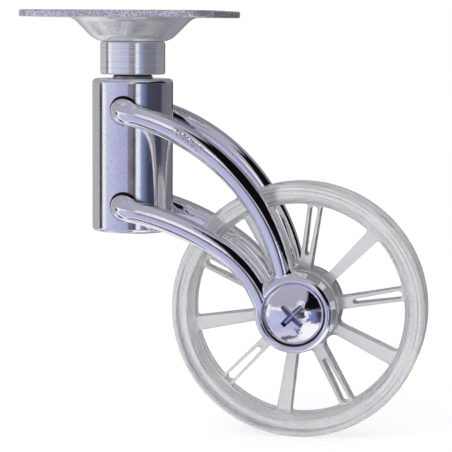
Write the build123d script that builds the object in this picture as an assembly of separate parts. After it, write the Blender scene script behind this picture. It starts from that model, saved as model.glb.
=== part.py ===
"""Swivel castor with a pressed top plate, two curved rod arms and a clear spoked wheel.

Millimetres, +Z up. The origin is the centre of the plate's top face, on the swivel axis.
+X is the trailing direction, towards the wheel. The axle lies along Y, and the right
side of the castor is at -Y.
"""
from build123d import *
import os
from math import asin, atan2, cos, degrees, hypot, radians, sin, tan

# Fits and running gaps
pin_fit = 0.02              # radial gap of a pressed or screwed piece in its seat
running_fit = 0.04          # radial gap of a shaft that turns in its bush
axial_gap = 0.08            # end float between faces that slide on each other

# Top plate: square steel sheet, pressed down into a dish in the middle
plate_side = 57.0
plate_thickness = 2.0
plate_corner_radius = 8.0
plate_edge_round = 0.45
screw_spacing = 42.0
screw_hole_radius = 2.4
dish_depth = 7.15           # floor of the dish below the plate's top face
dish_mouth_radius = 18.0    # underside, where the sheet turns down
dish_floor_radius = 11.0    # underside, where the cone meets the floor
mouth_bend_radius = 4.5     # inside radius of the bend at the mouth
floor_bend_radius = 4.6     # inside radius of the bend at the floor

# Collar under the dish
collar_radius = 9.65
collar_length = 9.65
collar_chamfer = 0.4

# Kingpin: riveted over in the dish, fixed to the plate
kingpin_radius = 4.0
kingpin_head_radius = 6.4
kingpin_head_height = 2.0
retaining_screw_radius = 2.0
retaining_screw_length = 9.0
retaining_head_radius = 4.0
retaining_head_height = 1.7
retaining_washer_radius = 6.6
retaining_washer_thickness = 0.8

# Thrust washer and flanged bushes of the swivel
thrust_washer_radius = 5.7
thrust_washer_thickness = 0.5
bush_wall = 1.15
bush_flange_radius = 5.95
bush_flange_thickness = 0.65
upper_bush_length = 10.0
lower_bush_length = 8.0
lower_flange_radius = 7.0

# Barrel
barrel_radius = 12.0
barrel_length = 45.4
barrel_edge_round = 1.3
counterbore_radius = 7.4
counterbore_depth = 3.7
upper_hole_drop = 9.2       # barrel top to the axis of the upper legs
leg_hole_spacing = 28.15    # upper to lower leg axis
leg_hole_depth = 5.4        # how far a leg reaches into the barrel's wall
leg_hole_chamfer = 0.55

# Fork arms: each one piece, two tapered round legs running into a cup
trail = 51.0                # swivel axis to axle, along X
axle_drop = 67.3            # barrel top to axle
leg_root_radius = 3.85
leg_radius = 3.35           # after the bend at the barrel
leg_tip_radius = 2.95
leg_bend_radius = 4.6
leg_offset_at_barrel = 16.4
leg_offset_at_cup = 10.9
upper_leg_angle = 15.0      # downward angle of each leg as it leaves the barrel
lower_leg_angle = 12.5
upper_leg_clock = 109.0     # where the upper leg's axis meets the cup, from +X
lower_leg_clock = 180.0
lower_leg_mid_reach = 30.4  # where the lower leg starts to turn down more tightly
lower_leg_mid_drop = 12.3
leg_seat_radius = 8.4       # radius about the axle at which both legs end

# Cup at the end of each arm
cup_radius = 11.2           # at the lip
cup_back_radius = 12.0      # at the inner face
cup_recess_radius = 9.4
cup_inner_face = 8.2        # distance from the wheel's middle plane
cup_floor_thickness = 3.0
cup_lip_height = 3.2        # lip above the recess floor
cup_lip_round = 0.8
cup_back_round = 0.9
upper_leg_fillet = 2.6      # where each leg runs into the cup's side
lower_leg_fillet = 1.8

# Axle: a threaded sleeve clamped between the cups by two domed screws
sleeve_radius = 4.0
axle_screw_radius = 3.0
axle_screw_length = 7.0     # thread inside the sleeve
screw_head_radius = 9.0
screw_head_rim = 2.2
screw_head_rise = 3.4       # height of the dome above its rim
cross_span = 8.4            # tip to tip of the screw's cross recess
cross_width = 1.9
cross_depth = 2.6
cross_taper = 17.0
cross_angle = 45.0

# Spacers and wheel bushes
spacer_radius = 6.6
spacer_thickness = 0.55
hub_bush_wall = 1.2
hub_bush_length = 6.0
hub_flange_radius = 6.3
hub_flange_thickness = 0.6

# Wheel: one clear moulding
wheel_radius = 37.5
rim_width = 15.6
rim_wall = 5.1              # radial thickness of the rim at its two sides
rim_crown = 1.1             # how much thicker the rim is in its middle plane
tread_corner_radius = 1.9
rim_inner_round = 0.6
hub_radius = 12.0
hub_edge_round = 0.8
spoke_count = 10
first_split_spoke = 10.0    # angle from +X of one of the split spokes
spoke_width_hub = 2.8
spoke_width_rim = 4.2
split_width_hub = 3.3
split_width_rim = 3.9
web_depth_hub = 7.6
web_depth_rim = 5.2
spoke_hub_fillet = 2.2
spoke_rim_fillet = 0.7
slot_hub_gap = 4.3          # hub to the start of the slot
slot_rim_gap = 0.35         # end of the slot to the rim
slot_width_start = 1.4
slot_width_end = 2.3

# Heights that follow from the stack under the plate
dish_floor_z = -dish_depth
collar_top_z = dish_floor_z - plate_thickness
collar_bottom_z = collar_top_z - collar_length
thrust_washer_z = collar_bottom_z - thrust_washer_thickness
barrel_top_z = thrust_washer_z - axial_gap - bush_flange_thickness
barrel_bottom_z = barrel_top_z - barrel_length
upper_hole_z = barrel_top_z - upper_hole_drop
lower_hole_z = upper_hole_z - leg_hole_spacing
axle_z = barrel_top_z - axle_drop
counterbore_z = barrel_bottom_z + counterbore_depth
lower_flange_z = counterbore_z - bush_flange_thickness
retaining_washer_z = lower_flange_z - axial_gap - retaining_washer_thickness
bush_outer_radius = kingpin_radius + running_fit + bush_wall

# Radii of the wheel that follow from its tread
rim_side_radius = wheel_radius - rim_wall
rim_crown_radius = rim_side_radius - rim_crown
slot_start = hub_radius + slot_hub_gap
slot_end = rim_crown_radius - slot_rim_gap

# Places along the axle that follow from the cups
cup_floor_y = cup_inner_face + cup_floor_thickness
leg_parting_clock = upper_leg_clock + degrees(asin(leg_radius / cup_radius))
spacer_y = cup_inner_face - spacer_thickness
hub_flange_y = spacer_y - axial_gap
hub_half_width = hub_flange_y - hub_flange_thickness
hub_bush_outer_radius = sleeve_radius + running_fit + hub_bush_wall


def tube(outer, inner, bottom, top):
    """Plain ring about the Z axis between two heights."""
    ring = Circle(outer) - Circle(inner)
    return Pos(0, 0, bottom) * extrude(ring, top - bottom)


def disc(radius, bottom, top):
    """Plain cylinder about the Z axis between two heights."""
    return Pos(0, 0, bottom) * extrude(Circle(radius), top - bottom)


def turned(points):
    """Solid turned about the Z axis from (radius, height) points."""
    outline = Polyline(*[(r, 0, z) for r, z in points], close=True)
    return revolve(make_face(outline), Axis.Z)


def to_axle(shape, side):
    """Move a piece made about Z, wheel's middle plane at z = 0, onto the axle at one side."""
    tipped = Rot(90 * -side, 0, 0) * shape
    return Pos(trail, 0, axle_z) * tipped


def make_top_plate():
    """Square sheet with rounded corners, four screw holes and the pressed dish."""
    slope = atan2(dish_depth, dish_mouth_radius - dish_floor_radius)
    shift = plate_thickness * tan(slope / 2)
    joint_radius = dish_mouth_radius + 2 * plate_thickness
    pin_hole = kingpin_radius + pin_fit
    outline = Polyline(
        (pin_hole, 0, collar_top_z),
        (dish_floor_radius, 0, collar_top_z),
        (dish_mouth_radius, 0, -plate_thickness),
        (joint_radius, 0, -plate_thickness),
        (joint_radius, 0, 0),
        (dish_mouth_radius - shift, 0, 0),
        (dish_floor_radius - shift, 0, dish_floor_z),
        (pin_hole, 0, dish_floor_z),
        close=True,
    )
    section = make_face(outline)
    bends = [(dish_mouth_radius, -plate_thickness, mouth_bend_radius),
             (dish_floor_radius - shift, dish_floor_z, floor_bend_radius),
             (dish_floor_radius, collar_top_z, floor_bend_radius + plate_thickness),
             (dish_mouth_radius - shift, 0, mouth_bend_radius + plate_thickness)]
    for radius, height, bend in bends:
        section = fillet(corner_at(section.vertices(), radius, height), bend)
    dish = revolve(section, Axis.Z)

    sheet = RectangleRounded(plate_side, plate_side, plate_corner_radius) - Circle(joint_radius)
    holes = [loc * Circle(screw_hole_radius) for loc in GridLocations(screw_spacing, screw_spacing, 2, 2)]
    rim = Pos(0, 0, -plate_thickness) * extrude(sheet - holes, plate_thickness)
    level_edges = [edge for edge in rim.edges() if edge.bounding_box().size.Z < plate_thickness / 2]
    past_holes = screw_spacing / 2 + screw_hole_radius
    outer_edges = [edge for edge in level_edges if edge.bounding_box().max.X > past_holes
                   or edge.bounding_box().max.Y > past_holes
                   or edge.bounding_box().min.X < -past_holes or edge.bounding_box().min.Y < -past_holes]
    return fillet(outer_edges, plate_edge_round) + dish


def corner_at(corners, radius, height):
    """The vertex of a turned section that lies nearest to a radius and height."""
    return min(corners, key=lambda v: (v.X - radius) ** 2 + (v.Z - height) ** 2)


def make_collar():
    """Turned collar between the dish and the thrust washer."""
    collar = tube(collar_radius, kingpin_radius + pin_fit, collar_bottom_z, collar_top_z)
    rims = collar.edges().filter_by(GeomType.CIRCLE).sort_by(SortBy.RADIUS)[-2:]
    return chamfer(rims, collar_chamfer)


def make_kingpin():
    """Pin with a domed rivet head, tapped at its lower end."""
    shaft = disc(kingpin_radius, lower_flange_z - axial_gap, dish_floor_z + kingpin_head_height / 2)
    dome_radius = (kingpin_head_radius ** 2 + kingpin_head_height ** 2) / (2 * kingpin_head_height)
    ball = Pos(0, 0, dish_floor_z + kingpin_head_height - dome_radius) * Sphere(dome_radius)
    head = ball & disc(kingpin_head_radius + 1, dish_floor_z, dish_floor_z + kingpin_head_height + 1)
    tapped = disc(retaining_screw_radius + pin_fit, lower_flange_z - 1,
                  retaining_washer_z + retaining_screw_length + 1)
    return shaft + head - tapped


def make_thrust_washer():
    """Dark nylon washer between the collar and the swivelling barrel."""
    return tube(thrust_washer_radius, kingpin_radius + running_fit, thrust_washer_z, collar_bottom_z)


def make_upper_bush():
    """Flanged bush in the top of the barrel: its flange shows as the bright neck ring."""
    bore = kingpin_radius + running_fit
    flange = tube(bush_flange_radius, bore, barrel_top_z, barrel_top_z + bush_flange_thickness)
    return flange + tube(bush_outer_radius, bore, barrel_top_z - upper_bush_length, barrel_top_z)


def make_lower_bush():
    """Flanged bush in the bottom of the barrel, its flange in the counterbore."""
    bore = kingpin_radius + running_fit
    flange = tube(lower_flange_radius, bore, lower_flange_z, counterbore_z)
    return flange + tube(bush_outer_radius, bore, counterbore_z, counterbore_z + lower_bush_length)


def make_retaining_washer():
    """Steel washer that holds the barrel up on the kingpin."""
    top = retaining_washer_z + retaining_washer_thickness
    return tube(retaining_washer_radius, retaining_screw_radius + pin_fit, retaining_washer_z, top)


def make_retaining_screw():
    """Pan-head cross-recessed screw in the kingpin's lower end."""
    head_bottom = retaining_washer_z - retaining_head_height
    head = disc(retaining_head_radius, head_bottom, retaining_washer_z)
    head = fillet(head.edges().sort_by(Axis.Z)[0], retaining_head_height * 0.6)
    shank = disc(retaining_screw_radius, retaining_washer_z, retaining_washer_z + retaining_screw_length)
    wing = Rectangle(retaining_head_radius, retaining_head_radius * 0.25)
    recess = Pos(0, 0, head_bottom) * extrude(wing + Rot(0, 0, 90) * wing, retaining_head_height * 0.6)
    return head + shank - recess


def leg_hole(height, side):
    """Cutter for the blind hole of one leg, from its floor out past the barrel."""
    drill = extrude(Circle(leg_root_radius + pin_fit), 2 * leg_hole_depth)
    floor = side * (barrel_radius - leg_hole_depth)
    return Pos(0, floor, height) * Rot(-90 * side, 0, 0) * drill


def make_barrel():
    """Thick turned barrel, bored for the bushes and cross-drilled for the four leg ends."""
    barrel = disc(barrel_radius, barrel_bottom_z, barrel_top_z)
    barrel = fillet(barrel.edges().filter_by(GeomType.CIRCLE), barrel_edge_round)
    barrel -= disc(bush_outer_radius + pin_fit, barrel_bottom_z - 1, barrel_top_z + 1)
    barrel -= disc(counterbore_radius, barrel_bottom_z - 1, counterbore_z)
    for height in (upper_hole_z, lower_hole_z):
        for side in (-1, 1):
            barrel -= leg_hole(height, side)
    mouths = [edge for edge in barrel.edges() if hole_mouth(edge)]
    return chamfer(mouths, leg_hole_chamfer)


def hole_mouth(edge):
    """Whether an edge of the barrel is where a leg hole breaks through its side."""
    box = edge.bounding_box()
    reach = max(abs(box.min.Y), abs(box.max.Y))
    tall = abs(box.size.Z - 2 * (leg_root_radius + pin_fit)) < leg_hole_chamfer
    return tall and reach > barrel_radius - leg_hole_chamfer


def arm_point(reach, height):
    """A point in the right arm's upright plane, which closes in towards the wheel."""
    lean = (leg_offset_at_barrel - leg_offset_at_cup) / trail
    return Vector(reach, -leg_offset_at_barrel + reach * lean, height)


def heading(angle):
    """Unit direction in the right arm's plane, sloping down by the angle in degrees."""
    flat = (arm_point(1, 0) - arm_point(0, 0)).normalized()
    return flat * cos(radians(angle)) - Vector(0, 0, sin(radians(angle)))


def leg_path(hole_z, angle, stops):
    """Axis of a leg: straight spigot, tight bend, then arcs tangent to each other."""
    corner = arm_point(0, hole_z)
    out = Vector(0, -1, 0)
    ahead = heading(angle)
    turn = radians(out.get_angle(ahead))
    setback = leg_bend_radius * tan(turn / 2)
    root = Vector(0, -(barrel_radius - leg_hole_depth), hole_z)
    bend_start = corner - out * setback
    bend_end = corner + ahead * setback
    spigot = Line(root, bend_start)
    bend = TangentArc(bend_start, bend_end, tangent=out)
    pieces = [spigot, bend]
    for stop in stops:
        pieces.append(TangentArc(pieces[-1] @ 1, stop, tangent=pieces[-1] % 1))
    return pieces


def leg_solid(pieces):
    """Round rod swept along a leg's axis: full size to the bend, then tapering to its tip."""
    root_section = Plane(origin=pieces[0] @ 0, z_dir=pieces[0] % 0) * Circle(leg_root_radius)
    spigot = sweep(root_section, path=pieces[0])
    neck_start = Plane(origin=pieces[1] @ 0, z_dir=pieces[1] % 0) * Circle(leg_root_radius)
    neck_end = Plane(origin=pieces[1] @ 1, z_dir=pieces[1] % 1) * Circle(leg_radius)
    neck = sweep([neck_start, neck_end], path=pieces[1], multisection=True)
    total = sum(piece.length for piece in pieces[2:])
    solid = spigot + neck
    gone = 0.0
    for piece in pieces[2:]:
        start_radius = leg_radius + (leg_tip_radius - leg_radius) * gone / total
        gone += piece.length
        end_radius = leg_radius + (leg_tip_radius - leg_radius) * gone / total
        start = Plane(origin=piece @ 0, z_dir=piece % 0) * Circle(start_radius)
        end = Plane(origin=piece @ 1, z_dir=piece % 1) * Circle(end_radius)
        solid += sweep([start, end], path=piece, multisection=True)
    return solid


def cup_blank():
    """Round cup with a rounded lip and a flat floor, turned about Z with its lip up."""
    lip_top = cup_floor_y + cup_lip_height
    wall = Polyline((0, 0, cup_inner_face), (cup_back_radius, 0, cup_inner_face),
                    (cup_radius, 0, lip_top), (cup_recess_radius, 0, lip_top),
                    (cup_recess_radius, 0, cup_floor_y), (0, 0, cup_floor_y), close=True)
    section = make_face(wall)
    corners = section.vertices()
    section = fillet([corner_at(corners, cup_radius, lip_top),
                      corner_at(corners, cup_recess_radius, lip_top)], cup_lip_round)
    back = corner_at(section.vertices(), cup_back_radius, cup_inner_face)
    section = fillet(back, cup_back_round)
    return revolve(section, Axis.Z)


def seat_point(clock):
    """Where a leg's axis ends in the cup's wall, by its clock angle about the axle."""
    reach = trail + leg_seat_radius * cos(radians(clock))
    return arm_point(reach, axle_z + leg_seat_radius * sin(radians(clock)))


def leg_joints(arm, from_clock, to_clock):
    """Edges where a leg runs into the cup's side wall, between two clock angles about the axle."""
    found = []
    for edge in arm.edges().filter_by(GeomType.BSPLINE):
        across, up = edge.center().X - trail, edge.center().Z - axle_z
        on_wall = cup_radius - cup_lip_round / 3 < hypot(across, up) < cup_back_radius + cup_back_round
        if on_wall and from_clock < degrees(atan2(up, across)) % 360 < to_clock:
            found.append(edge)
    return found


def make_right_arm():
    """Two tapered legs and the cup in one piece, with the screw hole through its floor."""
    upper = leg_path(upper_hole_z, upper_leg_angle, [seat_point(upper_leg_clock)])
    lower_mid = arm_point(lower_leg_mid_reach, lower_hole_z - lower_leg_mid_drop)
    lower = leg_path(lower_hole_z, lower_leg_angle, [lower_mid, seat_point(lower_leg_clock)])
    arm = leg_solid(upper) + leg_solid(lower) + to_axle(cup_blank(), -1)
    arm = fillet(leg_joints(arm, 0, leg_parting_clock), upper_leg_fillet)
    arm = fillet(leg_joints(arm, leg_parting_clock, 270), lower_leg_fillet)
    recess = disc(cup_recess_radius, cup_floor_y, cup_floor_y + 3 * cup_lip_height)
    passage = disc(axle_screw_radius + pin_fit, cup_inner_face - 1, cup_floor_y + 1)
    return arm - to_axle(recess + passage, -1)


def make_axle_sleeve():
    """Threaded tube clamped between the two cups: the wheel turns on it."""
    sleeve = tube(sleeve_radius, axle_screw_radius + pin_fit, -cup_inner_face, cup_inner_face)
    return to_axle(sleeve, -1)


def axle_screw():
    """Large domed screw with a cross recess, made about Z with its head up."""
    rim_top = cup_floor_y + screw_head_rim
    dome_radius = (screw_head_radius ** 2 + screw_head_rise ** 2) / (2 * screw_head_rise)
    ball = Pos(0, 0, rim_top + screw_head_rise - dome_radius) * Sphere(dome_radius)
    dome = ball & disc(screw_head_radius, rim_top, rim_top + 2 * screw_head_rise)
    head = dome + disc(screw_head_radius, cup_floor_y, rim_top)
    shank = disc(axle_screw_radius, cup_inner_face - axle_screw_length, cup_floor_y)
    wing = Rectangle(cross_span, cross_width)
    mouth = Rot(0, 0, cross_angle) * (wing + Rot(0, 0, 90) * wing)
    top = rim_top + screw_head_rise
    recess = Pos(0, 0, top) * extrude(mouth, amount=-cross_depth, taper=cross_taper)
    return head + shank - recess


def make_spacer(side):
    """Thin washer between a cup and the wheel's bush."""
    spacer = tube(spacer_radius, sleeve_radius + pin_fit, spacer_y, cup_inner_face)
    return to_axle(spacer, side)


def make_hub_bush(side):
    """Flanged bush pressed into one side of the hub."""
    bore = sleeve_radius + running_fit
    flange = tube(hub_flange_radius, bore, hub_half_width, hub_flange_y)
    barrel = tube(hub_bush_outer_radius, bore, hub_flange_y - hub_bush_length, hub_half_width)
    return to_axle(flange + barrel, side)


def rim_ring():
    """Rim turned from a rounded section with a crowned inner surface."""
    half = rim_width / 2
    outline = Polyline((wheel_radius, 0, -half), (wheel_radius, 0, half),
                       (rim_side_radius, 0, half), (rim_crown_radius, 0, 0),
                       (rim_side_radius, 0, -half), close=True)
    section = make_face(outline)
    corners = section.vertices()
    section = fillet([corner_at(corners, wheel_radius, half),
                      corner_at(corners, wheel_radius, -half)], min(tread_corner_radius, rim_wall / 2))
    corners = section.vertices()
    section = fillet([corner_at(corners, rim_side_radius, half),
                      corner_at(corners, rim_side_radius, -half)], rim_inner_round)
    return revolve(section, Axis.Z)


def web_blank():
    """Disc between hub and rim, deeper at the hub, from which the openings are cut."""
    inside = (hub_radius + hub_bush_outer_radius) / 2
    outside = rim_crown_radius + rim_wall / 2
    return turned([(inside, -web_depth_hub / 2), (inside, web_depth_hub / 2),
                   (outside, web_depth_rim / 2), (outside, -web_depth_rim / 2)])


def spoke_half_width(index, radius):
    """Half the width of a spoke at a radius: even ones are split and wider."""
    near, far = (split_width_hub, split_width_rim) if index % 2 == 0 else (spoke_width_hub, spoke_width_rim)
    along = (radius - hub_radius) / (rim_crown_radius - hub_radius)
    return (near + (far - near) * along) / 2


def spoke_corner(index, radius, side):
    """Point on one side of a spoke at a radius, in the wheel's plane."""
    angle = radians(first_split_spoke + index * 360 / spoke_count)
    half = spoke_half_width(index, radius) * side
    along = (radius ** 2 - half ** 2) ** 0.5
    return (along * cos(angle) - half * sin(angle), along * sin(angle) + half * cos(angle))


def web_opening(index):
    """Opening between one spoke and the next, with rounded corners."""
    inner_a = spoke_corner(index, hub_radius, 1)
    outer_a = spoke_corner(index, rim_crown_radius, 1)
    outer_b = spoke_corner(index + 1, rim_crown_radius, -1)
    inner_b = spoke_corner(index + 1, hub_radius, -1)
    middle = radians(first_split_spoke + (index + 0.5) * 360 / spoke_count)
    outer_mid = (rim_crown_radius * cos(middle), rim_crown_radius * sin(middle))
    inner_mid = (hub_radius * cos(middle), hub_radius * sin(middle))
    outline = [Line(inner_a, outer_a), ThreePointArc(outer_a, outer_mid, outer_b),
               Line(outer_b, inner_b), ThreePointArc(inner_b, inner_mid, inner_a)]
    face = make_face(outline)
    by_radius = sorted(face.vertices(), key=lambda v: v.X ** 2 + v.Y ** 2)
    face = fillet(by_radius[2:], spoke_rim_fillet)
    by_radius = sorted(face.vertices(), key=lambda v: v.X ** 2 + v.Y ** 2)
    return fillet(by_radius[:2], spoke_hub_fillet)


def spoke_slot(index):
    """Long slot with round ends through a split spoke, widening towards the rim."""
    start = Pos(slot_start + slot_width_start / 2, 0) * Circle(slot_width_start / 2)
    end = Pos(slot_end - slot_width_end / 2, 0) * Circle(slot_width_end / 2)
    return Rot(0, 0, first_split_spoke + index * 360 / spoke_count) * make_hull((start + end).edges())


def make_wheel():
    """Clear wheel moulding: rim, ten spokes of two kinds and a bored hub."""
    depth = 2 * rim_width
    web = web_blank()
    for index in range(spoke_count):
        web -= Pos(0, 0, -rim_width) * extrude(web_opening(index), depth)
        if index % 2 == 0:
            web -= Pos(0, 0, -rim_width) * extrude(spoke_slot(index), depth)
    hub = disc(hub_radius, -hub_half_width, hub_half_width)
    hub = fillet(hub.edges().filter_by(GeomType.CIRCLE), hub_edge_round)
    wheel = rim_ring() + web + hub
    wheel -= disc(hub_bush_outer_radius + pin_fit, -rim_width, rim_width)
    return to_axle(wheel, -1)


def build_nodes():
    """Every piece of the castor by its node name."""
    right_arm = make_right_arm()
    return {
        "top_plate": make_top_plate(),
        "collar": make_collar(),
        "kingpin": make_kingpin(),
        "thrust_washer": make_thrust_washer(),
        "retaining_washer": make_retaining_washer(),
        "retaining_screw": make_retaining_screw(),
        "barrel": make_barrel(),
        "upper_bush": make_upper_bush(),
        "lower_bush": make_lower_bush(),
        "right_arm": right_arm,
        "left_arm": mirror(right_arm, about=Plane.XZ),
        "axle_sleeve": make_axle_sleeve(),
        "right_axle_screw": to_axle(axle_screw(), -1),
        "left_axle_screw": to_axle(axle_screw(), 1),
        "right_spacer": make_spacer(-1),
        "left_spacer": make_spacer(1),
        "wheel": make_wheel(),
        "right_hub_bush": make_hub_bush(-1),
        "left_hub_bush": make_hub_bush(1),
    }


def write_nodes(nodes):
    """Write one STEP file for each piece."""
    os.makedirs("parts", exist_ok=True)
    for name, shape in nodes.items():
        export_step(shape, f"parts/{name}.step")


write_nodes(build_nodes())
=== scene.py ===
"""Furniture castor: a spoked clear wheel between two one-piece chromed forks, under a dished plate.

The CAD frame gives every solid. This file gives the studio, the finishes and the fine surface
forms.
"""

from math import radians

import bpy
import numpy as np
from mathutils import Matrix, Vector


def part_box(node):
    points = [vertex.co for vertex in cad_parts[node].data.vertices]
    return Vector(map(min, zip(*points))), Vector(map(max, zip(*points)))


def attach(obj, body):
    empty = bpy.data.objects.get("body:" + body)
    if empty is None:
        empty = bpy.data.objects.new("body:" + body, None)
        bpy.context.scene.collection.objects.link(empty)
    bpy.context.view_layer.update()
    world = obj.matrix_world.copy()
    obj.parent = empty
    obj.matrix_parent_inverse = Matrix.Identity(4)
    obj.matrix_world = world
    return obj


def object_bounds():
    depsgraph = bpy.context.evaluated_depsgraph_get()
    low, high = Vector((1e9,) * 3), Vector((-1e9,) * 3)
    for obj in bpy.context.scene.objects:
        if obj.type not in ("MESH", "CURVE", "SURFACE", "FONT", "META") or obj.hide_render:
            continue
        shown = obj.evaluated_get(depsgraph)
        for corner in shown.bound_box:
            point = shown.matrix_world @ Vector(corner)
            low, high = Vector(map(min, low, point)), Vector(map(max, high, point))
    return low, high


bl_info = {
    "name": "Spoked Wheel Castor",
    "version": (1, 0, 0),
    "blender": (4, 5, 0),
    "location": "3D View > Sidebar > Castor",
    "description": "Finishes, fine forms and studio for a chromed castor with a spoked clear wheel",
    "category": "Object",
}

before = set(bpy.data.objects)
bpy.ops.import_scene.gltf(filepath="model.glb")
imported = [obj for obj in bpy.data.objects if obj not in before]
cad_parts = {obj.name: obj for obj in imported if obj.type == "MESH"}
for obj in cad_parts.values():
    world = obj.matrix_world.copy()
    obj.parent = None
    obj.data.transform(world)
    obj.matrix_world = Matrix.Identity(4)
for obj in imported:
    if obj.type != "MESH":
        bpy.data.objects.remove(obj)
CAD_LOW, CAD_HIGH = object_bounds()
MM = 0.001
MICRON = 0.001 * MM
AXLE = tuple(sum(corners) / 2 for corners in zip(*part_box("axle_sleeve")))

# The sphere of an axle screw's dome, whose centre is given from the part's middle plane
DOME_RADIUS = 13.61 * MM
DOME_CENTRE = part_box("left_axle_screw")[1].y - DOME_RADIUS
# Depths below the dome, and distances from the axle, between which the recess is told apart
RECESS_DEPTHS = (0.12 * MM, 1.1 * MM)
RECESS_REACH = (5.2 * MM, 4.6 * MM)

# The mouths of the legs' holes in the barrel's round wall, and how deep the painted shade at their
# seams is laid
BARREL_RADIUS = 12.0 * MM
LEG_HOLE_RADIUS = 4.2 * MM
LEG_HOLE_HEIGHTS = tuple(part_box("barrel")[1].z - drop * MM for drop in (9.2, 37.35))
LEG_SEAM_SINK = 0.25 * MM

# The gap between an axle screw's rim and its cup: from the axle and from the middle plane
CUP_SEAM_RADIUS = 9.2 * MM
CUP_SEAM_DEPTH = 13.45 * MM

# The angle at which a seam's painted shade is thickest, on the side where shadow falls, and its
# share of that on the opposite side, where only a thin dark joint is left
LEG_SEAM_FALL = (radians(75), 0.2)
CUP_SEAM_FALL = (radians(-50), 0.12)

# A cup's lip: its circle's centre from the axle and from the middle plane, the circle's radius,
# and by how much its inner side is higher, and its outer side lower, than its centre
LIP_RADIUS = 10.32 * MM
LIP_DEPTH = 13.6 * MM
LIP_HALF_SIZE = 1.0 * MM
LIP_FALL = 0.3 * MM

# Steps round the axis and round the section
BEAD_STEPS = (96, 16)
LIP_STEPS = (144, 32)

# The two ends of the scuffed line on the upper right leg. The scuff comes in along the line from
# its start, goes out about its end, and goes out sideways, each between two distances.
SCUFF = ((16.2 * MM, -17.9 * MM, -34.2 * MM), (24.2 * MM, -17.0 * MM, -40.2 * MM))
SCUFF_START = (-0.6 * MM, 0.4 * MM)
SCUFF_END = (0.8 * MM, -0.8 * MM)
SCUFF_WIDTH = (1.3 * MM, 0.35 * MM)

# Distances from the swivel's axis between which the dish turns into the flat sheet
SHEET_START = (18 * MM, 25 * MM)
# Distances from the axle between which the spokes turn into the rim
RIM_START = (28 * MM, 32 * MM)

# (radius, half width, strength) of the thin lines of painted shade where the wheel's section turns,
# standing in for its dark edges
RING_SHADE_LINES = (
    (31.6 * MM, 0.22 * MM, 0.5),
    (32.7 * MM, 0.3 * MM, 0.7),
    (34.3 * MM, 0.2 * MM, 0.45),
    (35.5 * MM, 0.26 * MM, 0.6),
    (36.5 * MM, 0.2 * MM, 0.4),
    (11.6 * MM, 0.3 * MM, 0.4),
)

# Linear colours of marks, and tints that multiply the colour under them
WHITE = (1.0, 1.0, 1.0)
PIT_COLOUR = (0.12, 0.11, 0.13)
# Painted shade: the darker, bluer colour of the screws' cross recess stands in for the shade deep
# inside it
RECESS_SHADE_COLOUR = (0.6, 0.62, 0.68)
SCUFF_COLOUR = (0.2, 0.2, 0.24)
SATIN_SPECK_COLOUR = (0.2, 0.19, 0.22)
ZINC_GRAIN_TINT = (0.6, 0.6, 0.62)
ZINC_SHEET_TINT = (0.55, 0.55, 0.6)
WARM_TINT = (0.98, 0.985, 0.93)
COOL_TINT = (0.94, 0.93, 0.98)
MOULD_SPECK_COLOUR = (0.45, 0.45, 0.5)
STREAK_COLOUR = (0.4, 0.4, 0.46)
# Painted shade: the grey of the thin lines at the wheel's turning edges
RING_SHADE_COLOUR = (0.2, 0.2, 0.25)
# Painted shade: the near-black of the beads in the seams round the legs and the axle screws, a thin
# dark joint thickened into a painted shadow on one side
SEAM_SHADE_COLOUR = (0.01, 0.01, 0.012)


def linear(hex_colour):
    """An sRGB colour such as "b9b9e0" as linear red, green and blue."""
    shares = np.array([int(hex_colour[i : i + 2], 16) for i in (0, 2, 4)]) / 255.0
    return tuple(np.where(shares <= 0.04045, shares / 12.92, ((shares + 0.055) / 1.055) ** 2.4))


def colour_property(name, description, default):
    return bpy.props.FloatVectorProperty(
        name=name,
        description=description,
        default=linear(default),
        size=3,
        min=0,
        max=1,
        subtype="COLOR",
    )


def share_property(name, description, default):
    return bpy.props.FloatProperty(
        name=name, description=description, default=default, min=0, max=1, subtype="FACTOR"
    )


def length_property(name, description, default):
    return bpy.props.FloatProperty(
        name=name,
        description=description,
        default=default,
        min=0,
        subtype="DISTANCE",
        unit="LENGTH",
    )


class CastorFinishes(bpy.types.PropertyGroup):
    """Colours and gloss of the castor's materials."""

    chrome: colour_property("Chrome", "Colour of the plated forks, barrel and screws", "f5f4f8")
    chrome_roughness: share_property("Chrome Roughness", "Blur of the plated surfaces", 0.05)
    screw_roughness: share_property("Screw Roughness", "Blur of the axle screws' domes", 0.1)
    satin_roughness: share_property(
        "Satin Roughness", "Blur of the barrel along its height", 0.13
    )
    zinc: colour_property("Zinc Plate", "Colour of the zinc plated top plate", "fcfcfa")
    zinc_roughness: share_property("Zinc Roughness", "Blur of the top plate", 0.21)
    steel: colour_property("Turned Steel", "Colour of the turned collar", "fafafb")
    steel_roughness: share_property("Turned Roughness", "Blur of the turned collar", 0.1)
    pin_steel: colour_property("Pin Steel", "Colour of pins, washers and sleeves", "a8a6a8")
    bush: colour_property("Bush Metal", "Colour of the sintered bushes and spacers", "e8e4e6")
    nylon: colour_property("Black Nylon", "Colour of the thrust washer", "0c0c0e")
    wheel: colour_property("Clear Wheel", "Colour of the clear wheel plastic", "fdfdfc")
    hub_bush: colour_property("Hub Bush", "Colour of the plastic hub bushes", "c9c8cc")


class CastorSizes(bpy.types.PropertyGroup):
    """Sizes of the fine surface forms."""

    turning_pitch: length_property(
        "Turning Pitch", "Distance between the lathe lines of the collar", 0.45 * MM
    )
    pit_spacing: length_property(
        "Pit Spacing", "Mean distance between the pits in the plating", 2.6 * MM
    )
    # The seam beads are painted shade: a thin dark joint line that thickens into a painted shadow
    # on one side
    seam: length_property("Seam", "Half thickness of the grime at its thickest", 0.3 * MM)
    grain: length_property("Zinc Grain", "Size of the grain of the zinc plating", 0.55 * MM)


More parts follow.
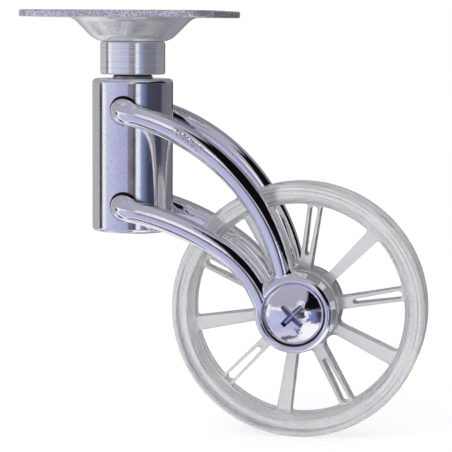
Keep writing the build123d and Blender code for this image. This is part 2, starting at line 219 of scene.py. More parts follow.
class CastorStudio(bpy.types.PropertyGroup):
    """The camera, the lamp and the floor."""

    focal_length: bpy.props.FloatProperty(
        name="Focal Length",
        description="Lens of the camera",
        default=147.35,
        min=1,
        unit="CAMERA",
    )
    lamp_power: bpy.props.FloatProperty(
        name="Lamp Power", description="Power of the soft lamp", default=1.6, min=0, unit="POWER"
    )
    floor_size: length_property("Floor Size", "Width of the floor", 6.0)
    shadow: share_property("Shadow", "How much of the soft shadow the floor shows", 0.35)


# Shader nodes


def set_inputs(tree, node, inputs):
    """Links each input that is given a socket, and sets each other one to its value."""
    for key, value in inputs.items():
        if isinstance(value, bpy.types.NodeSocket):
            tree.links.new(value, node.inputs[key])
        else:
            node.inputs[key].default_value = value


def add_node(tree, kind, inputs=None, **settings):
    """A shader node with its settings and its inputs."""
    made = tree.nodes.new("ShaderNode" + kind)
    for name, value in settings.items():
        setattr(made, name, value)
    set_inputs(tree, made, inputs or {})
    return made


def opaque(colour):
    """A colour with an alpha of 1."""
    return (*tuple(colour)[:3], 1.0)


def darker(colour, share):
    """A share of a colour."""
    return [part * share for part in colour]


def maths(tree, operation, first, second=0.0):
    """One step of arithmetic on two values."""
    return add_node(tree, "Math", {0: first, 1: second}, operation=operation).outputs[0]


def product(tree, first, *others):
    """The first value times each of the others."""
    for other in others:
        first = maths(tree, "MULTIPLY", first, other)
    return first


def vector_maths(tree, operation, inputs, output="Vector"):
    """One step of vector arithmetic, whose inputs are given by number or name."""
    return add_node(tree, "VectorMath", inputs, operation=operation).outputs[output]


def step_between(tree, value, low, high, smooth=True):
    """0 below low and 1 above high, with a smooth or a straight rise between."""
    kind = "SMOOTHSTEP" if smooth else "LINEAR"
    made = add_node(
        tree,
        "MapRange",
        {"Value": value, "From Min": low, "From Max": high},
        interpolation_type=kind,
    )
    return made.outputs["Result"]


def uneven_roughness(tree, value, low, high, roughness, least, most):
    """The roughness times a share, from least where the value is low to most where it is high."""
    limits = {"To Min": roughness * least, "To Max": roughness * most}
    made = add_node(
        tree, "MapRange", {"Value": value, "From Min": low, "From Max": high, **limits}
    )
    return made.outputs["Result"]


def colour_ramp(tree, value, stops):
    """A linear ramp through (position, colour) stops, all placed before they are coloured."""
    ramp = add_node(tree, "ValToRGB", {"Fac": value})
    elements = ramp.color_ramp.elements
    while len(elements) < len(stops):
        elements.new(0.5)
    for element, (position, _) in zip(elements, stops):
        element.position = position
    for element, (_, colour) in zip(elements, stops):
        element.color = opaque(colour)
    return ramp.outputs["Color"]


def mix_colours(tree, factor, first, second, blend="MIX"):
    """The first colour blended towards the second by the factor."""
    made = add_node(tree, "Mix", {"Factor": factor}, data_type="RGBA", blend_type=blend)
    for key, value in ((6, first), (7, second)):
        is_socket = isinstance(value, bpy.types.NodeSocket)
        set_inputs(tree, made, {key: value if is_socket else opaque(value)})
    return made.outputs[2]


def noise(tree, where, scale, detail=3.0, roughness=0.5, distortion=0.0):
    """Cloudy noise between 0 and 1 with so many clouds in a metre."""
    inputs = {
        "Vector": where,
        "Scale": scale,
        "Detail": detail,
        "Roughness": roughness,
        "Distortion": distortion,
    }
    return add_node(tree, "TexNoise", inputs).outputs["Fac"]


def object_place(tree, scale=(1, 1, 1)):
    """The place on the piece in metres, scaled."""
    place = add_node(tree, "TexCoord").outputs["Object"]
    return add_node(tree, "Mapping", {"Vector": place, "Scale": scale}).outputs["Vector"]


def bump(tree, height, strength, distance, normal=None):
    """A normal tilted by a height, on top of another normal where one is given."""
    inputs = {"Height": height, "Strength": strength, "Distance": distance}
    if normal is not None:
        inputs["Normal"] = normal
    return add_node(tree, "Bump", inputs).outputs["Normal"]


def new_material(name):
    """A material with its principled shader linked to the output: (material, tree, shader)."""
    material = bpy.data.materials.new(name)
    material.use_nodes = True
    tree = material.node_tree
    tree.nodes.clear()
    shader = add_node(tree, "BsdfPrincipled")
    add_node(tree, "OutputMaterial", {"Surface": shader.outputs["BSDF"]})
    return material, tree, shader


def dress(material, *names):
    """Gives the material to every slot of these CAD nodes."""
    for name in names:
        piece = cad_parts[name]
        if not piece.material_slots:
            piece.data.materials.append(material)
        for slot in piece.material_slots:
            slot.material = material


# Finishes


def axle_distance(tree):
    """Distance from the axle's line and from the wheel's middle plane, in metres."""
    place = add_node(tree, "TexCoord").outputs["Object"]
    from_axle = vector_maths(tree, "SUBTRACT", {0: place, 1: AXLE})
    flat = vector_maths(tree, "MULTIPLY", {0: from_axle, 1: (1, 0, 1)})
    away = vector_maths(tree, "LENGTH", {0: flat}, "Value")
    side = add_node(tree, "SeparateXYZ", {0: from_axle}).outputs["Y"]
    return away, maths(tree, "ABSOLUTE", side)


def recess_mask(tree):
    """1 inside the cross recess of an axle screw, which lies below its dome, and 0 on the dome."""
    place = add_node(tree, "TexCoord").outputs["Object"]
    from_axle = vector_maths(tree, "SUBTRACT", {0: place, 1: AXLE})
    mirrored = vector_maths(tree, "ABSOLUTE", {0: from_axle})
    offset = vector_maths(tree, "SUBTRACT", {0: mirrored, 1: (0, DOME_CENTRE, 0)})
    away = vector_maths(tree, "LENGTH", {0: offset}, "Value")
    spread, _ = axle_distance(tree)
    start, full = (DOME_RADIUS - depth for depth in RECESS_DEPTHS)
    deep = step_between(tree, away, start, full)
    return product(tree, deep, step_between(tree, spread, *RECESS_REACH))


def scuff_mask(tree):
    """1 on the line where the upper right leg is scuffed, 0 away from it."""
    start, end = (Vector(place) for place in SCUFF)
    length = (end - start).length
    along = (end - start).normalized()
    place = add_node(tree, "TexCoord").outputs["Object"]
    offset = vector_maths(tree, "SUBTRACT", {0: place, 1: start})
    reach = vector_maths(tree, "DOT_PRODUCT", {0: offset, 1: along}, "Value")
    shadow = vector_maths(tree, "SCALE", {0: along, "Scale": reach})
    across = vector_maths(tree, "DISTANCE", {0: offset, 1: shadow}, "Value")
    return product(
        tree,
        step_between(tree, reach, *SCUFF_START),
        step_between(tree, reach, *(length + fade for fade in SCUFF_END)),
        step_between(tree, across, *SCUFF_WIDTH),
    )


def pit_mask(tree, place, spacing):
    """1 in small round pits, which only a few cells of the given spacing have, and 0 elsewhere."""
    cells = add_node(tree, "TexVoronoi", {"Vector": place, "Scale": 1.0 / spacing})
    chosen = add_node(tree, "SeparateColor", {"Color": cells.outputs["Color"]}).outputs["Red"]
    rare = step_between(tree, chosen, 0.86, 0.9)
    return product(tree, rare, step_between(tree, cells.outputs["Distance"], 0.11, 0.05))


def chrome_finish(
    name,
    colour,
    roughness,
    pit_spacing,
    wave_height=12 * MICRON,
    wave_scale=110.0,
    recess=False,
    scuffed=False,
):
    """Bright plating: polishing waves, a few dark pits, faint smears that blur the mirror."""
    material, tree, shader = new_material(name)
    place = object_place(tree)
    smears = noise(tree, place, scale=90.0, detail=4.0, roughness=0.6)
    rough = uneven_roughness(tree, smears, 0.35, 0.7, roughness, least=0.6, most=1.5)
    pits = pit_mask(tree, place, pit_spacing)
    base = mix_colours(tree, pits, colour, PIT_COLOUR)
    # With recess, painted shade: the cross recess is darkened, standing in for the shade deep
    # inside it
    if recess:
        base = mix_colours(tree, recess_mask(tree), base, RECESS_SHADE_COLOUR)
    waves = noise(tree, place, wave_scale, detail=2.0)
    scratches = noise(tree, object_place(tree, (1, 1, 7)), scale=900.0, detail=2.0)
    lifted = bump(tree, waves, 1.0, wave_height)
    lifted = bump(tree, scratches, 0.35, 1.6 * MICRON, lifted)
    lifted = bump(tree, pits, -0.6, 40 * MICRON, lifted)
    if scuffed:
        crumbs = noise(tree, place, scale=1500.0, roughness=0.6, distortion=0.5)
        worn = product(tree, scuff_mask(tree), step_between(tree, crumbs, 0.47, 0.58))
        base = mix_colours(tree, product(tree, worn, 0.35), base, SCUFF_COLOUR)
        lifted = bump(tree, worn, 1.0, 300 * MICRON, lifted)
    finish = {"Metallic": 1.0, "Base Color": base, "Roughness": rough, "Normal": lifted}
    set_inputs(tree, shader, finish)
    return material


def satin_finish(name, colour, roughness):
    """Plated turned tube: it mirrors sharply round its axis, blurred along it, with dark specks."""
    material, tree, shader = new_material(name)
    place = object_place(tree)
    fine = noise(tree, place, scale=2600.0, detail=2.0, roughness=0.7)
    clouds = noise(tree, place, scale=200.0)
    specks = product(tree, step_between(tree, fine, 0.53, 0.7), 0.4)
    finish = {
        "Metallic": 1.0,
        "Anisotropic": 0.85,
        "Anisotropic Rotation": 0.25,
        "Tangent": add_node(tree, "Tangent", direction_type="RADIAL", axis="Z").outputs[0],
        "Base Color": mix_colours(tree, specks, colour, SATIN_SPECK_COLOUR),
        "Roughness": uneven_roughness(tree, clouds, 0.3, 0.7, roughness, least=0.85, most=1.15),
        "Normal": bump(tree, fine, 0.5, 9 * MICRON),
    }
    set_inputs(tree, shader, finish)
    return material


def zinc_finish(name, colour, roughness, grain):
    """Zinc plated sheet: cloudy grey, with a grain that is strong on the flat, weak in the dish."""
    material, tree, shader = new_material(name)
    place = object_place(tree)
    clouds = noise(tree, place, scale=70.0, detail=4.0, roughness=0.6)
    fine = noise(tree, place, scale=1.0 / grain, roughness=0.65)
    ripples = step_between(tree, noise(tree, place, scale=140.0, detail=2.0), 0.5, 0.62)
    flat = vector_maths(tree, "MULTIPLY", {0: place, 1: (1, 1, 0)})
    reach = vector_maths(tree, "LENGTH", {0: flat}, "Value")
    on_sheet = step_between(tree, reach, *SHEET_START)
    grains = step_between(tree, fine, 0.36, 0.66)
    cloudy = step_between(tree, clouds, 0.35, 0.68)
    base = mix_colours(tree, cloudy, darker(colour, 0.85), colour)
    base = mix_colours(tree, product(tree, grains, 0.4), base, ZINC_GRAIN_TINT, "MULTIPLY")
    base = mix_colours(tree, product(tree, grains, on_sheet), base, ZINC_SHEET_TINT, "MULTIPLY")
    rough = uneven_roughness(tree, clouds, 0.3, 0.7, roughness, least=0.75, most=1.3)
    lifted = bump(tree, fine, 0.6, 60 * MICRON)
    lifted = bump(tree, clouds, 0.5, 200 * MICRON, lifted)
    lifted = bump(tree, ripples, 0.5, 100 * MICRON, lifted)
    finish = {"Metallic": 0.76, "Base Color": base, "Roughness": rough, "Normal": lifted}
    set_inputs(tree, shader, finish)
    return material


def turned_finish(name, colour, roughness, pitch):
    """Lathe turned steel: fine lines round the upright axis, uneven in depth, some with dirt."""
    material, tree, shader = new_material(name)
    lines = noise(tree, object_place(tree, (3.0, 3.0, 1.0 / pitch)), 1.0, 4.0, 0.7)
    clouds = noise(tree, object_place(tree), scale=160.0)
    dirt = product(tree, step_between(tree, lines, 0.5, 0.7), 0.6)
    finish = {
        "Metallic": 0.75,
        "Base Color": mix_colours(tree, dirt, colour, darker(colour, 0.5)),
        "Roughness": uneven_roughness(tree, clouds, 0.3, 0.7, roughness, least=0.8, most=1.3),
        "Normal": bump(tree, lines, 0.8, 30 * MICRON),
    }
    set_inputs(tree, shader, finish)
    return material


def plain_finish(name, colour, roughness, metallic, grain_scale, variation=0.2):
    """A simple metal or plastic with cloudy colour and a fine grain."""
    material, tree, shader = new_material(name)
    place = object_place(tree)
    clouds = noise(tree, place, grain_scale * 0.15)
    fine = noise(tree, place, grain_scale, roughness=0.6)
    cloudy = step_between(tree, clouds, 0.3, 0.7)
    finish = {
        "Metallic": metallic,
        "Base Color": mix_colours(tree, cloudy, darker(colour, 1 - variation), colour),
        "Roughness": uneven_roughness(tree, fine, 0.3, 0.7, roughness, least=0.8, most=1.25),
        "Normal": bump(tree, fine, 0.4, 20 * MICRON),
    }
    set_inputs(tree, shader, finish)
    return material


def ring_line(tree, away, radius, half_width):
    """1 on a thin ring at a radius and 0 beyond its half width."""
    offset = maths(tree, "ABSOLUTE", maths(tree, "SUBTRACT", away, radius))
    return step_between(tree, offset, half_width, half_width * 0.3)


def clear_finish(name, colour):
    """Clear moulded plastic: flow marks round the rim, and painted shade in thin grey lines where
    its section turns.
    """
    material, tree, shader = new_material(name)
    place = object_place(tree)
    away, side = axle_distance(tree)
    rings = {0: product(tree, away, 2100.0), 1: product(tree, side, 260.0)}
    rings = add_node(tree, "CombineXYZ", rings).outputs[0]
    mould = noise(tree, rings, scale=1.0, roughness=0.6)
    flow = noise(tree, place, scale=120.0, detail=4.0, roughness=0.55, distortion=0.6)
    fine = noise(tree, place, scale=2000.0, detail=2.0)
    warm = noise(tree, place, scale=210.0, roughness=0.6)
    broken = step_between(tree, noise(tree, place, scale=60.0, detail=2.0), 0.4, 0.56)
    on_rim = step_between(tree, away, *RIM_START)
    flowing = step_between(tree, flow, 0.3, 0.7)
    base = mix_colours(tree, flowing, darker(colour, 0.93), colour)
    base = mix_colours(tree, step_between(tree, warm, 0.42, 0.62), base, WARM_TINT, "MULTIPLY")
    base = mix_colours(tree, step_between(tree, warm, 0.5, 0.36), base, COOL_TINT, "MULTIPLY")
    specks = product(tree, step_between(tree, fine, 0.52, 0.66), 0.3)
    base = mix_colours(tree, specks, base, MOULD_SPECK_COLOUR)
    base = mix_colours(tree, on_rim, darker(colour, 0.86), base)
    streaks = product(tree, step_between(tree, mould, 0.46, 0.62), 0.24, on_rim)
    base = mix_colours(tree, streaks, base, STREAK_COLOUR)
    # Painted shade: thin grey rings at the radii where the wheel's section turns, standing in for
    # its dark edges
    for radius, half_width, weight in RING_SHADE_LINES:
        line = product(tree, ring_line(tree, away, radius, half_width), weight, broken)
        base = mix_colours(tree, line, base, RING_SHADE_COLOUR)
    lifted = bump(tree, flow, 0.5, 50 * MICRON)
    lifted = bump(tree, product(tree, mould, on_rim), 0.6, 40 * MICRON, lifted)
    lifted = bump(tree, fine, 0.4, 20 * MICRON, lifted)
    finish = {
        "Base Color": base,
        "Roughness": 0.22,
        "IOR": 1.49,
        "Transmission Weight": 0.68,
        "Normal": lifted,
    }
    set_inputs(tree, shader, finish)
    return material


# Surfaces


def grid_piece(name, points, material):
    """A closed grid of points, wrapping in both directions, as a smooth piece of one material."""
    rows, columns = points.shape[:2]
    index = np.arange(rows * columns).reshape(rows, columns)
    across = np.roll(index, -1, axis=1)
    corners = [index, across, np.roll(across, -1, axis=0), np.roll(index, -1, axis=0)]
    faces = np.stack(corners, axis=-1)
    mesh = bpy.data.meshes.new(name)
    mesh.vertices.add(rows * columns)
    mesh.vertices.foreach_set("co", points.astype(np.float32).ravel())
    mesh.loops.add(faces.size)
    mesh.loops.foreach_set("vertex_index", faces.astype(np.int32).ravel())
    mesh.polygons.add(rows * columns)
    mesh.polygons.foreach_set("loop_start", np.arange(0, faces.size, 4, dtype=np.int32))
    mesh.polygons.foreach_set("use_smooth", np.ones(rows * columns, dtype=bool))
    mesh.update(calc_edges=True)
    mesh.materials.append(material)
    piece = bpy.data.objects.new(name, mesh)
    bpy.context.scene.collection.objects.link(piece)
    return piece


def two_turns(rows, columns):
    """A full turn down the rows, round the axis, and one along the columns, round the section."""
    turn = np.linspace(0, 2 * np.pi, rows, endpoint=False)[:, None]
    section = np.linspace(0, 2 * np.pi, columns, endpoint=False)[None, :]
    return turn, section


def carried_round(centre, turn, across, depth, side):
    """Points at the distance across from an axis along Y, and depth from the part's middle plane.

    x and z are the centre plus the distance times the turn's cosine and sine. The rows are
    reversed on the left side, so that the faces point outwards on both.
    """
    x = centre[0] + across * np.cos(turn)
    z = centre[1] + across * np.sin(turn)
    return np.stack(np.broadcast_arrays(x, side * depth, z), axis=-1)[::-side]


def bead_surface(centre, radius, wall, side, thickness, thickest, least):
    """A bead of grime round an axis along Y, laid at the wall's distance from the middle plane.

    The first parameter turns round the axis and the second round the bead's own circle. The
    bead's half thickness falls from the full value at the angle thickest, where the painted shadow
    lies, to the share least on the opposite side, where only a thin dark joint is left. The wall is
    a function of the turn.
    """
    turn, section = two_turns(*BEAD_STEPS)
    fall = np.clip(0.5 + 0.75 * np.cos(turn - thickest), 0, 1) ** 1.5
    half = thickness * (least + (1 - least) * fall)
    across = radius + half * np.cos(section)
    return carried_round(centre, turn, across, wall(turn) + half * np.sin(section), side)


def barrel_wall(turn):
    """Distance of the barrel's wall from the middle plane, less the sink, along a hole's mouth.

    It is the root of the barrel's radius squared less the squared sideways reach of the mouth.
    """
    sideways = LEG_HOLE_RADIUS * np.cos(turn)
    return np.sqrt(BARREL_RADIUS**2 - sideways**2) - LEG_SEAM_SINK


def cup_wall(turn):
    """Distance of the gap between an axle screw's rim and its cup from the middle plane."""
    return np.full_like(turn, CUP_SEAM_DEPTH)


def lip_surface(side):
    """The rounded lip of a cup: a circle carried round the axle, sheared so its crest lies inward.

    The first parameter turns round the axle and the second round the circle. The circle's height
    falls from its inner to its outer side by twice the fall.
    """
    turn, section = two_turns(*LIP_STEPS)
    across = LIP_RADIUS + LIP_HALF_SIZE * np.cos(section)
    depth = LIP_DEPTH + LIP_HALF_SIZE * np.sin(section) - LIP_FALL * np.cos(section)
    return carried_round((AXLE[0], AXLE[2]), turn, across, depth, side)


# Studio


# The photograph's viewpoint in metres, and the directions to its right and up
CAMERA_PLACE = Vector((0.128162, -0.537654, -0.004479))
CAMERA_RIGHT = Vector((0.98310, 0.18293, 0.00662))
CAMERA_UP = Vector((-0.02610, 0.10431, 0.99420))
SENSOR_WIDTH_MM = 36
CLIP_START = 0.01
CLIP_END = 50

LAMP_PLACE = Vector((-0.35, -0.55, 0.55))
LAMP_TARGET = Vector((0.03, 0, -0.06))
LAMP_SIZE = 0.5

# The even light of the world on everything that isn't polished
EVEN_COLOUR = (0.92, 0.93, 1.0)
EVEN_STRENGTH = 0.82

FLOOR_GAP = 0.05 * MM
FLOOR_COLOUR = (0.92, 0.92, 0.93)
FLOOR_GLOW = 1.14

# The room that polished metal mirrors. Azimuth is 0 towards the viewer and grows to the viewer's
# right; height is in degrees above the horizon. A band is (degrees, colour).
HEIGHT_BANDS = [
    (-90, "e6e5ea"),
    (-70, "dedde6"),
    (-58, "dcdcec"),
    (-40, "bcbcdc"),
    (-20, "b2b4d6"),
    (-4, "c4c8de"),
    (8, "c6c4ce"),
    (14, "aba6b6"),
    (56, "b2afc0"),
    (90, "a5a2ae"),
]
BELT_BANDS = [
    (-180, "b0b0b4"),
    (-108, "b6b6ba"),
    (-105, "2c2a30"),
    (-95, "3a383e"),
    (-92, "ffffff"),
    (-84, "f4f4fa"),
    (-76, "c6c9e2"),
    (-30, "b0b3d8"),
    (-13, "aeaed2"),
    (-9, "746878"),
    (1, "645868"),
    (4, "5a5262"),
    (5, "2c2832"),
    (9, "34303c"),
    (12, "7a7890"),
    (13.5, "fbfcff"),
    (23, "eef3ff"),
    (27, "8a9cc6"),
    (43, "4e5876"),
    (50, "3a3a50"),
    (90, "38384e"),
    (98, "6e6e76"),
    (150, "76767c"),
    (158, "2c2c34"),
    (180, "2c2c34"),
]
# Heights between which the belt fades in from below, and out again above
BELT_BOTTOM = (-13, -11)
BELT_TOP = (3.5, 1.5)
# (azimuth from, to, lean of its left edge, height from, to, edge softness, colour)
CARDS = [
    (95, 200, 0, -70, 84, 14, "8a8892"),
    (-200, -104, 0, -18, 60, 8, "a9a8ae"),
    (-200, -118, 0, -72, -24, 8, "f0f0f4"),
    (-136, -94, 0, -47, -33, 6, "5c5c6c"),
    (-112, -12, 0, -67, -58, 3, "565664"),
    (-104, -92, 0, -80, -6, 3, "fbfbff"),
    (-98, -44, 0, -5, 9, 3, "ffffff"),
    (-84, -34, 0, -30, -6, 4, "bcc6e4"),
    (-9, 10, 0.2, 2, 30, 5, "f4f2f8"),
    (4, 62, 0, -68, -22, 4, "ffffff"),
    (12, 44, 0, -24, 7, 4, "7680ac"),
    (42, 114, 0, -26, 4, 5, "4c4c62"),
    (9, 16, 0, -20, 9, 2, "f6f8ff"),
    (-13, 5, 0, -54, -38, 3, "62627a"),
    (4, 116, 0.62, 6, 56, 3, "0e0c0e"),
    (-200, -100, 0, -100, -70, 4, "131216"),
    (100, 200, 0, -100, -70, 4, "131216"),
]


def make_camera(studio):
    """The photograph's viewpoint: right, up and back directions are the columns of the turn."""
    lens = bpy.data.cameras.new("camera")
    lens.lens = studio.focal_length
    lens.sensor_width = SENSOR_WIDTH_MM
    lens.clip_start = CLIP_START
    lens.clip_end = CLIP_END
    camera = bpy.data.objects.new("camera", lens)
    back = CAMERA_RIGHT.cross(CAMERA_UP).normalized()
    up = back.cross(CAMERA_RIGHT).normalized()
    turn = Matrix((CAMERA_RIGHT.normalized(), up, back)).transposed()
    camera.matrix_world = Matrix.Translation(CAMERA_PLACE) @ turn.to_4x4()
    bpy.context.scene.collection.objects.link(camera)
    bpy.context.scene.camera = camera


def band_colour(tree, angle, limit, bands):
    """The bands' colour at an angle between minus the limit and the limit, in degrees."""
    share = step_between(tree, angle, -limit, limit, smooth=False)
    stops = [((degrees + limit) / (2 * limit), linear(tint)) for degrees, tint in bands]
    return colour_ramp(tree, share, stops)


def room_colour(tree):
    """The mirrored room: bands by height, then cards over them, then a narrow belt by azimuth."""
    direction = add_node(tree, "TexCoord").outputs["Generated"]
    side = Vector((CAMERA_RIGHT.x, CAMERA_RIGHT.y, 0)).normalized()
    front = Vector((side.y, -side.x, 0))
    rightward, forward, upward = (
        vector_maths(tree, "DOT_PRODUCT", {0: direction, 1: axis}, "Value")
        for axis in (side, front, Vector((0, 0, 1)))
    )
    azimuth = maths(tree, "DEGREES", maths(tree, "ARCTAN2", rightward, forward))
    height = maths(tree, "DEGREES", maths(tree, "ARCSINE", upward))
    colour = band_colour(tree, height, 90, HEIGHT_BANDS)
    for left, right, lean, low, high, soft, tint in CARDS:
        shift = product(tree, maths(tree, "SUBTRACT", height, low), lean)
        leaned = maths(tree, "SUBTRACT", azimuth, shift)
        mask = product(
            tree,
            step_between(tree, leaned, left - soft, left + soft),
            step_between(tree, azimuth, right + soft, right - soft),
            step_between(tree, height, low - soft, low + soft),
            step_between(tree, height, high + soft, high - soft),
        )
        colour = mix_colours(tree, mask, colour, linear(tint))
    belt = band_colour(tree, azimuth, 180, BELT_BANDS)
    rise = step_between(tree, height, *BELT_BOTTOM)
    inside = product(tree, rise, step_between(tree, height, *BELT_TOP))
    return mix_colours(tree, inside, colour, belt)


def make_world():
    """White to the camera and through clear plastic, the room to metal, even light to the rest."""
    world = bpy.data.worlds.new("studio")
    world.use_nodes = True
    world.cycles.sampling_method = "NONE"
    tree = world.node_tree
    tree.nodes.clear()
    rays = add_node(tree, "LightPath").outputs
    room = add_node(tree, "Background", {"Color": room_colour(tree), "Strength": 1.0})
    white = add_node(tree, "Background", {"Color": opaque(WHITE), "Strength": 1.0})
    even_light = {"Color": opaque(EVEN_COLOUR), "Strength": EVEN_STRENGTH}
    even = add_node(tree, "Background", even_light)
    seen = maths(tree, "MAXIMUM", rays["Is Camera Ray"], rays["Is Transmission Ray"])
    lit = {0: rays["Is Glossy Ray"], 1: even.outputs[0], 2: room.outputs[0]}
    mixed = add_node(tree, "MixShader", lit)
    shown = add_node(tree, "MixShader", {0: seen, 1: mixed.outputs[0], 2: white.outputs[0]})
    add_node(tree, "OutputWorld", {"Surface": shown.outputs[0]})
    bpy.context.scene.world = world


def floor_material(studio):
    """Matt and pale to the light, and white with a soft shadow to the camera."""
    material = bpy.data.materials.new("pale_floor")
    material.use_nodes = True
    tree = material.node_tree
    tree.nodes.clear()
    rays = add_node(tree, "LightPath").outputs
    matt = add_node(tree, "BsdfDiffuse", {"Color": opaque(FLOOR_COLOUR)})
    bright = add_node(tree, "BsdfDiffuse", {"Color": opaque(WHITE)})
    glow = add_node(tree, "Emission", {"Color": opaque(WHITE), "Strength": FLOOR_GLOW})
    pair = {0: studio.shadow, 1: glow.outputs[0], 2: bright.outputs[0]}
    shown = add_node(tree, "MixShader", pair)
    seen = maths(tree, "MAXIMUM", rays["Is Camera Ray"], rays["Is Transmission Ray"])
    mixed = add_node(tree, "MixShader", {0: seen, 1: matt.outputs[0], 2: shown.outputs[0]})
    add_node(tree, "OutputMaterial", {"Surface": mixed.outputs[0]})
    return material


def make_floor(studio):
    """A flat square floor just under the wheel."""
    half = studio.floor_size / 2
    corners = np.array([(-half, -half), (half, -half), (half, half), (-half, half)])
    points = np.column_stack([corners, np.full(4, CAD_LOW.z - FLOOR_GAP)])
    mesh = bpy.data.meshes.new("floor")
    mesh.from_pydata(points.tolist(), [], [(0, 1, 2, 3)])
    mesh.materials.append(floor_material(studio))
    floor = bpy.data.objects.new("floor", mesh)
    floor.visible_glossy = False
    bpy.context.scene.collection.objects.link(floor)


def make_lamp(studio):
    """A soft square lamp aimed at the castor. Polished metal mirrors the room and not the lamp."""
    data = bpy.data.lights.new("soft_lamp", "AREA")
    data.shape = "SQUARE"
    data.size = LAMP_SIZE
    data.energy = studio.lamp_power
    lamp = bpy.data.objects.new("soft_lamp", data)
    lamp.location = LAMP_PLACE
    lamp.rotation_mode = "QUATERNION"
    lamp.rotation_quaternion = (LAMP_TARGET - LAMP_PLACE).to_track_quat("-Z", "Y")
    lamp.visible_glossy = False
    lamp.visible_camera = False
    lamp.visible_transmission = False
    bpy.context.scene.collection.objects.link(lamp)


# Operators


class CASTOR_OT_stage(bpy.types.Operator):
    """Set up the camera, the pale floor, the soft lamp and the studio world"""

    bl_idname = "castor.stage"
    bl_label = "Stage"

    def execute(self, context):
        studio = context.scene.castor_studio
        context.scene.view_settings.view_transform = "Standard"
        make_camera(studio)
        make_world()
        make_floor(studio)
        make_lamp(studio)
        return {"FINISHED"}


class CASTOR_OT_plate(bpy.types.Operator):
    """Finish the top plate, the collar and the swivel pin"""

    bl_idname = "castor.plate"
    bl_label = "Top Plate and Swivel"

    def execute(self, context):
        finishes = context.scene.castor_finishes
        sizes = context.scene.castor_sizes
        dress(
            zinc_finish("zinc_plate", finishes.zinc, finishes.zinc_roughness, sizes.grain),
            "top_plate",
        )
        turning = (finishes.steel, finishes.steel_roughness, sizes.turning_pitch)
        dress(turned_finish("turned_steel", *turning), "collar")
        dress(
            plain_finish(
                "pin_steel", finishes.pin_steel, roughness=0.28, metallic=1.0, grain_scale=1400.0
            ),
            "kingpin",
            "retaining_washer",
            "retaining_screw",
            "axle_sleeve",
        )
        dress(
            plain_finish(
                "black_nylon", finishes.nylon, roughness=0.5, metallic=0.0, grain_scale=1800.0
            ),
            "thrust_washer",
        )
        dress(
            plain_finish(
                "bush_metal",
                finishes.bush,
                roughness=0.38,
                metallic=0.4,
                grain_scale=2200.0,
                variation=0.55,
            ),
            "upper_bush",
            "lower_bush",
            "right_spacer",
            "left_spacer",
        )
        return {"FINISHED"}


class CASTOR_OT_fork(bpy.types.Operator):
    """Finish the plated barrel, the two forks with the lips of their cups, and the axle screws"""

    bl_idname = "castor.fork"
    bl_label = "Barrel and Forks"

    def execute(self, context):
        finishes = context.scene.castor_finishes
        sizes = context.scene.castor_sizes
        satin = satin_finish("chrome_barrel", finishes.chrome, finishes.satin_roughness)
        dress(satin, "barrel")
        plating = (finishes.chrome, finishes.chrome_roughness, sizes.pit_spacing)
        arm_chrome = chrome_finish("chrome_arm", *plating, scuffed=True)
        dress(arm_chrome, "right_arm", "left_arm")
        for name, side in (("right", -1), ("left", 1)):
            lip = grid_piece(f"{name}_cup_lip", lip_surface(side), arm_chrome)
            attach(lip, "fork")
        worn = chrome_finish(
            "chrome_screw",
            finishes.chrome,
            finishes.screw_roughness,
            sizes.pit_spacing,
            wave_height=110 * MICRON,
            wave_scale=520.0,
            recess=True,
        )
        dress(worn, "right_axle_screw", "left_axle_screw")
        return {"FINISHED"}


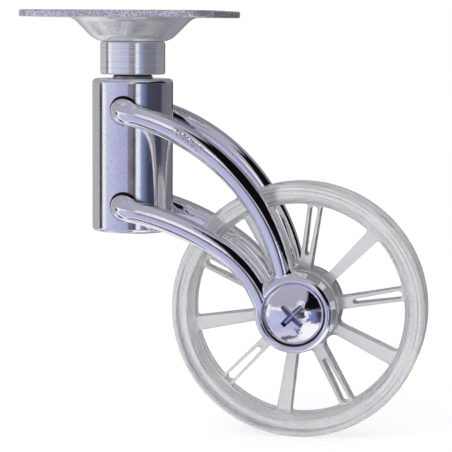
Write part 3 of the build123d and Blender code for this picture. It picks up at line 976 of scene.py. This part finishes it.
class CASTOR_OT_seam_shades(bpy.types.Operator):
    """Lay painted shade in the seams round the legs and the axle screws: dark beads, thickest where
    shadow falls
    """

    bl_idname = "castor.seams"
    bl_label = "Seams"

    def execute(self, context):
        thickness = context.scene.castor_sizes.seam
        # Painted shade: near-black beads in the seams, a thin dark joint that thickens into a
        # painted shadow on one side
        painted_shade = plain_finish(
            "painted_seam_shade", SEAM_SHADE_COLOUR, roughness=0.6, metallic=0.0, grain_scale=2000.0
        )
        for name, side in (("right", -1), ("left", 1)):
            seams = {
                f"{name}_{level}_leg_seam_shade": (
                    (0, height),
                    LEG_HOLE_RADIUS,
                    barrel_wall,
                    LEG_SEAM_FALL,
                )
                for level, height in zip(("upper", "lower"), LEG_HOLE_HEIGHTS)
            }
            cup = (AXLE[0], AXLE[2])
            seams[f"{name}_cup_seam"] = (cup, CUP_SEAM_RADIUS, cup_wall, CUP_SEAM_FALL)
            for title, (centre, radius, wall, fall) in seams.items():
                points = bead_surface(centre, radius, wall, side, thickness, *fall)
                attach(grid_piece(title, points, painted_shade), "fork")
        return {"FINISHED"}


class CASTOR_OT_wheel(bpy.types.Operator):
    """Finish the clear wheel and its hub bushes"""

    bl_idname = "castor.wheel"
    bl_label = "Wheel"

    def execute(self, context):
        finishes = context.scene.castor_finishes
        dress(clear_finish("clear_wheel", finishes.wheel), "wheel")
        dress(
            plain_finish(
                "bush_plastic", finishes.hub_bush, roughness=0.35, metallic=0.0, grain_scale=1500.0
            ),
            "right_hub_bush",
            "left_hub_bush",
        )
        return {"FINISHED"}


class CASTOR_PT_sidebar(bpy.types.Panel):
    """The castor's pieces and settings"""

    bl_idname = "CASTOR_PT_sidebar"
    bl_label = "Castor"
    bl_space_type = "VIEW_3D"
    bl_region_type = "UI"
    bl_category = "Castor"

    def draw(self, context):
        layout = self.layout
        for operator in OPERATORS:
            layout.operator(operator.bl_idname)
        for name, group in GROUPS.items():
            box = layout.box()
            box.label(text=group.__doc__)
            for field in group.__annotations__:
                box.prop(getattr(context.scene, name), field)


OPERATORS = (
    CASTOR_OT_stage,
    CASTOR_OT_plate,
    CASTOR_OT_fork,
    CASTOR_OT_seam_shades,
    CASTOR_OT_wheel,
)
GROUPS = {
    "castor_finishes": CastorFinishes,
    "castor_sizes": CastorSizes,
    "castor_studio": CastorStudio,
}


def register():
    for made in (*GROUPS.values(), *OPERATORS, CASTOR_PT_sidebar):
        bpy.utils.register_class(made)
    for name, group in GROUPS.items():
        setattr(bpy.types.Scene, name, bpy.props.PointerProperty(type=group))


def unregister():
    for name in GROUPS:
        delattr(bpy.types.Scene, name)
    for made in (CASTOR_PT_sidebar, *reversed(OPERATORS), *reversed(list(GROUPS.values()))):
        bpy.utils.unregister_class(made)


def main():
    register()
    for operator in OPERATORS:
        group, name = operator.bl_idname.split(".")
        getattr(getattr(bpy.ops, group), name)()


if __name__ == "__main__":
    main()
